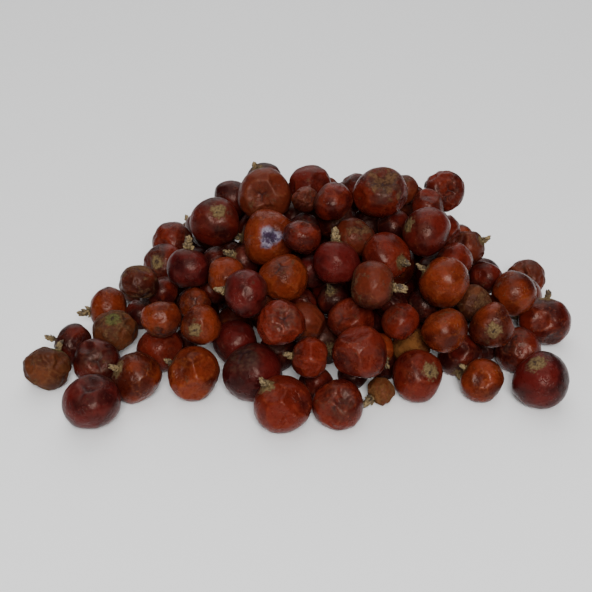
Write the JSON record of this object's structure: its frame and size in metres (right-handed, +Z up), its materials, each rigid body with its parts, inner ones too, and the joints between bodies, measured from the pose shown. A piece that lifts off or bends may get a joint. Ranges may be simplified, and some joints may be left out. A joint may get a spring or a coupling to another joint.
{
  "type": "heap of dried juniper berries",
  "caption": "Loose heap of dried juniper berries: round, wrinkled red-brown to orange-brown cones with small scaly stalk stubs, piled on a flat surface.",
  "frame": {"origin": "on the surface that the heap lies on, under the middle of its box", "axes": "+X to the right as seen from the front, +Y to the back, +Z up"},
  "size_m": [0.1127, 0.0857, 0.0354],
  "materials": {
    "amber_berry_skin": "satin to softly glossy, orange-brown",
    "brown_berry_skin": "dull satin, brown, crumbly in places",
    "dark_berry_skin": "satin, wrinkled, with a thin grey bloom",
    "olive_berry_skin": "dull, tan to olive, shrivelled",
    "plum_berry_skin": "satin, purple-brown, with a grey-blue bloom",
    "red_berry_skin": "satin, red-brown, faintly wrinkled"
  },
  "bodies": {
    "root": {"berries_01_dark": "dark_berry_skin", "berries_02_dark": "dark_berry_skin", "berries_03_dark": "dark_berry_skin", "berries_04_plum": "plum_berry_skin", "berries_05_brown": "brown_berry_skin", "berries_06_red": "red_berry_skin", "berries_07_dark": "dark_berry_skin", "berries_08_plum": "plum_berry_skin", "berries_09_red": "red_berry_skin", "berries_10_amber": "amber_berry_skin", "berries_11_red": "red_berry_skin", "berries_12_brown": "brown_berry_skin", "berries_13_dark": "dark_berry_skin", "berries_14_brown": "brown_berry_skin", "berries_15_dark": "dark_berry_skin", "berries_16_plum": "plum_berry_skin", "berries_17_brown": "brown_berry_skin", "berries_18_brown": "brown_berry_skin", "berries_19_amber": "amber_berry_skin", "berries_20_dark": "dark_berry_skin", "berries_21_amber": "amber_berry_skin", "berries_22_dark": "dark_berry_skin", "berries_23_dark": "dark_berry_skin", "berries_24_amber": "amber_berry_skin", "berries_25_red": "red_berry_skin", "berries_26_red": "red_berry_skin", "berries_27_amber": "amber_berry_skin", "berries_28_dark": "dark_berry_skin", "berries_29_plum": "plum_berry_skin", "berries_30_olive": "olive_berry_skin", "berries_31_red": "red_berry_skin", "berries_32_olive": "olive_berry_skin", "berries_33_red": "red_berry_skin", "berries_34_amber": "amber_berry_skin", "berries_35_plum": "plum_berry_skin", "berries_36_plum": "plum_berry_skin", "berries_37_red": "red_berry_skin", "berries_38_dark": "dark_berry_skin", "berries_39_amber": "amber_berry_skin", "berries_40_dark": "dark_berry_skin", "berries_41_brown": "brown_berry_skin", "berries_42_dark": "dark_berry_skin", "berries_43_amber": "amber_berry_skin", "berries_44_plum": "plum_berry_skin", "berries_45_amber": "amber_berry_skin", "berries_46_dark": "dark_berry_skin", "berries_47_plum": "plum_berry_skin", "berries_48_red": "red_berry_skin", "berries_49_red": "red_berry_skin", "berries_50_red": "red_berry_skin", "berries_51_dark": "dark_berry_skin", "berries_52_red": "red_berry_skin", "berries_53_plum": "plum_berry_skin", "berries_54_plum": "plum_berry_skin", "berries_55_brown": "brown_berry_skin", "berries_56_dark": "dark_berry_skin", "berries_57_brown": "brown_berry_skin", "berries_58_dark": "dark_berry_skin"}
  },
  "joints": []
}
